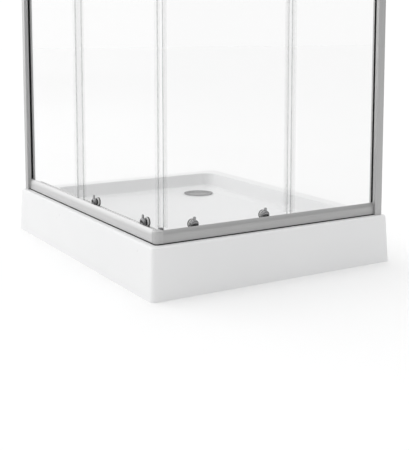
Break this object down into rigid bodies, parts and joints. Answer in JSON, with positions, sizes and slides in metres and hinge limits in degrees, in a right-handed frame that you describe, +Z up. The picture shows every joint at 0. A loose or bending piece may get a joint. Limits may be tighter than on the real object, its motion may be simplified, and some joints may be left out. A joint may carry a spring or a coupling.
{
  "type": "corner shower enclosure with sliding doors",
  "caption": "Corner shower enclosure on a deep white tray: clear fixed panes and sliding glass doors that meet at the corner, in bright metal rails and wall profiles.",
  "frame": {"origin": "centre of the tray's outline at floor level", "axes": "+X along the shorter glazed side towards its wall, +Y along the longer glazed side towards its wall, +Z up; the entry corner is at -X, -Y"},
  "size_m": [0.8, 1, 1.99],
  "materials": {
    "tray_white": "glossy white cast acrylic",
    "frame_steel": "galvanised tube",
    "foot_plastic": "moulded",
    "black_rubber": "soft satin",
    "trap_plastic": "moulded",
    "waste_chrome": "polished",
    "cover_steel": "satin chromed cover",
    "connector_metal": "polished",
    "bracket_plastic": "moulded grey",
    "screw_steel": "stainless",
    "profile_metal": "bright anodised",
    "clear_glass": "clear toughened glass",
    "clear_seal": "clear extruded seal",
    "handle_chrome": "polished",
    "washer_plastic": "clear washer",
    "roller_chrome": "polished",
    "roller_plastic": "moulded",
    "hanger_steel": "stamped",
    "wheel_plastic": "acetal"
  },
  "bodies": {
    "root": {"tray": "tray_white", "tray_frame": "frame_steel", "tray_feet": "foot_plastic", "waste_gasket": "black_rubber", "waste_body": "trap_plastic", "waste_flange": "waste_chrome", "trap_cup": "trap_plastic", "corner_connector_bottom": "connector_metal", "corner_connector_top": "connector_metal", "corner_buffers": "black_rubber", "rail_end_brackets": "bracket_plastic", "bracket_screws": "screw_steel", "opening_stops": "black_rubber", "front_wall_profile": "profile_metal", "front_glazing_gasket": "black_rubber", "front_fixed_glass": "clear_glass", "front_fixed_seal": "clear_seal", "front_bottom_rail": "profile_metal", "front_top_rail": "profile_metal", "front_rail_seal": "black_rubber", "left_wall_profile": "profile_metal", "left_glazing_gasket": "black_rubber", "left_fixed_glass": "clear_glass", "left_fixed_seal": "clear_seal", "left_bottom_rail": "profile_metal", "left_top_rail": "profile_metal", "left_rail_seal": "black_rubber"},
    "drain_cover": {"drain_cover": "cover_steel"},
    "front_door": {"front_door_glass": "clear_glass", "front_magnet_seal": "clear_seal", "front_trailing_seal": "clear_seal", "front_handle_outer": "handle_chrome", "front_handle_inner": "handle_chrome", "front_handle_washers": "washer_plastic", "front_bottom_caps": "roller_chrome", "front_bottom_roller_bodies": "roller_plastic", "front_top_caps": "roller_chrome", "front_top_hangers": "hanger_steel"},
    "front_bottom_wheel_1": {"front_bottom_wheel_1": "wheel_plastic"},
    "front_bottom_wheel_2": {"front_bottom_wheel_2": "wheel_plastic"},
    "front_top_wheel_1": {"front_top_wheel_1": "wheel_plastic"},
    "front_top_wheel_2": {"front_top_wheel_2": "wheel_plastic"},
    "front_release_button_1": {"front_release_button_1": "roller_chrome"},
    "front_release_button_2": {"front_release_button_2": "roller_chrome"},
    "left_door": {"left_door_glass": "clear_glass", "left_magnet_seal": "clear_seal", "left_trailing_seal": "clear_seal", "left_handle_outer": "handle_chrome", "left_handle_inner": "handle_chrome", "left_handle_washers": "washer_plastic", "left_bottom_caps": "roller_chrome", "left_bottom_roller_bodies": "roller_plastic", "left_top_caps": "roller_chrome", "left_top_hangers": "hanger_steel"},
    "left_bottom_wheel_1": {"left_bottom_wheel_1": "wheel_plastic"},
    "left_bottom_wheel_2": {"left_bottom_wheel_2": "wheel_plastic"},
    "left_top_wheel_1": {"left_top_wheel_1": "wheel_plastic"},
    "left_top_wheel_2": {"left_top_wheel_2": "wheel_plastic"},
    "left_release_button_1": {"left_release_button_1": "roller_chrome"},
    "left_release_button_2": {"left_release_button_2": "roller_chrome"}
  },
  "joints": [
    {"name": "drain_cover_lift", "type": "slide", "parent": "root", "child": "drain_cover", "axis": [0, 0, 1], "range_m": [0, 0.03]},
    {"name": "front_door_slide", "type": "slide", "parent": "root", "child": "front_door", "axis": [1, 0, 0], "range_m": [0, 0.29]},
    {"name": "front_bottom_wheel_1_turn", "type": "hinge", "parent": "front_door", "child": "front_bottom_wheel_1", "pos_m": [-0.245, -0.43875, 0.176], "axis": [0, 1, 0], "range_deg": [-5, 1390]},
    {"name": "front_bottom_wheel_2_turn", "type": "hinge", "parent": "front_door", "child": "front_bottom_wheel_2", "pos_m": [-0.017, -0.43875, 0.176], "axis": [0, 1, 0], "range_deg": [-5, 1390]},
    {"name": "front_top_wheel_1_turn", "type": "hinge", "parent": "front_door", "child": "front_top_wheel_1", "pos_m": [-0.245, -0.4372, 1.9745], "axis": [0, 1, 0], "range_deg": [-5, 1667]},
    {"name": "front_top_wheel_2_turn", "type": "hinge", "parent": "front_door", "child": "front_top_wheel_2", "pos_m": [-0.017, -0.4372, 1.9745], "axis": [0, 1, 0], "range_deg": [-5, 1667]},
    {"name": "front_release_button_1_press", "type": "slide", "parent": "front_door", "child": "front_release_button_1", "axis": [0, 0, -1], "range_m": [0, 0.003], "stiffness_N_per_m": 400},
    {"name": "front_release_button_2_press", "type": "slide", "parent": "front_door", "child": "front_release_button_2", "axis": [0, 0, -1], "range_m": [0, 0.003], "stiffness_N_per_m": 400},
    {"name": "left_door_slide", "type": "slide", "parent": "root", "child": "left_door", "axis": [0, 1, 0], "range_m": [0, 0.39]},
    {"name": "left_bottom_wheel_1_turn", "type": "hinge", "parent": "left_door", "child": "left_bottom_wheel_1", "pos_m": [-0.33875, -0.355, 0.176], "axis": [1, 0, 0], "range_deg": [-1868, 5]},
    {"name": "left_bottom_wheel_2_turn", "type": "hinge", "parent": "left_door", "child": "left_bottom_wheel_2", "pos_m": [-0.33875, -0.033, 0.176], "axis": [1, 0, 0], "range_deg": [-1868, 5]},
    {"name": "left_top_wheel_1_turn", "type": "hinge", "parent": "left_door", "child": "left_top_wheel_1", "pos_m": [-0.3372, -0.355, 1.9745], "axis": [1, 0, 0], "range_deg": [-2240, 5]},
    {"name": "left_top_wheel_2_turn", "type": "hinge", "parent": "left_door", "child": "left_top_wheel_2", "pos_m": [-0.3372, -0.033, 1.9745], "axis": [1, 0, 0], "range_deg": [-2240, 5]},
    {"name": "left_release_button_1_press", "type": "slide", "parent": "left_door", "child": "left_release_button_1", "axis": [0, 0, -1], "range_m": [0, 0.003], "stiffness_N_per_m": 400},
    {"name": "left_release_button_2_press", "type": "slide", "parent": "left_door", "child": "left_release_button_2", "axis": [0, 0, -1], "range_m": [0, 0.003], "stiffness_N_per_m": 400}
  ],
  "couplings": [
    {"joint": "front_bottom_wheel_1_turn", "follows": "front_door_slide", "rad_per_m": 83.333},
    {"joint": "front_bottom_wheel_2_turn", "follows": "front_door_slide", "rad_per_m": 83.333},
    {"joint": "front_top_wheel_1_turn", "follows": "front_door_slide", "rad_per_m": 100},
    {"joint": "front_top_wheel_2_turn", "follows": "front_door_slide", "rad_per_m": 100},
    {"joint": "left_bottom_wheel_1_turn", "follows": "left_door_slide", "rad_per_m": -83.333},
    {"joint": "left_bottom_wheel_2_turn", "follows": "left_door_slide", "rad_per_m": -83.333},
    {"joint": "left_top_wheel_1_turn", "follows": "left_door_slide", "rad_per_m": -100},
    {"joint": "left_top_wheel_2_turn", "follows": "left_door_slide", "rad_per_m": -100}
  ]
}
